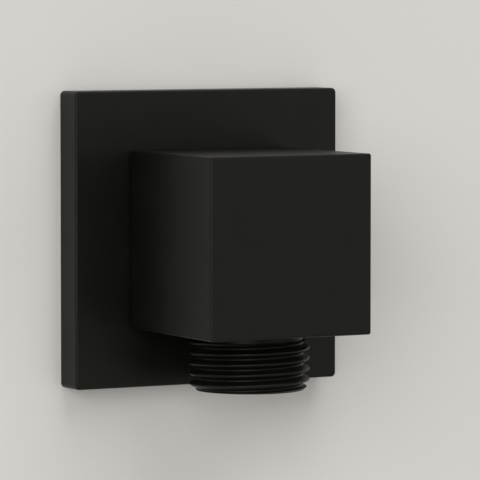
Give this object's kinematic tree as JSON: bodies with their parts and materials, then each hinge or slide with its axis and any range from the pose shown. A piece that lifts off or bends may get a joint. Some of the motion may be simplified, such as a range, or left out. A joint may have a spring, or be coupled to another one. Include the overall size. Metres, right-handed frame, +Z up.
{
  "type": "wall outlet elbow",
  "caption": "Square wall plate and elbow block that take water from a pipe in the wall and turn it down to a threaded shower hose outlet with a check valve inside.",
  "frame": {"origin": "on the wall plane, where the inlet thread's axis meets it, at the back of the wall plate", "axes": "+Y along the inlet thread into the wall, +Z up, +X to the right as seen from the room; the outlet points along -Z"},
  "size_m": [0.052, 0.0506, 0.052],
  "materials": {
    "black_coat": "satin",
    "nipple_brass": "satin",
    "screw_steel": "satin",
    "spring_steel": "satin",
    "seal_rubber": "matte",
    "gasket_foam": "matte",
    "valve_white": "satin",
    "valve_blue": "satin"
  },
  "bodies": {
    "elbow": {"wall_plate": "black_coat", "plate_o_ring": "seal_rubber", "plate_gasket": "gasket_foam", "elbow_body": "black_coat", "inlet_nipple": "nipple_brass", "inlet_o_ring": "seal_rubber", "grub_screw": "screw_steel", "valve_seat": "valve_white", "valve_o_ring": "seal_rubber", "valve_cage": "valve_white", "valve_spring": "spring_steel"},
    "poppet": {"valve_poppet": "valve_blue", "valve_seal": "seal_rubber"}
  },
  "joints": [
    {"name": "valve_travel", "type": "slide", "parent": "elbow", "child": "poppet", "axis": [0, 0, -1], "range_m": [0, 0.0022], "stiffness_N_per_m": 30, "springref_m": -0.006, "deforming": ["valve_spring"]}
  ]
}
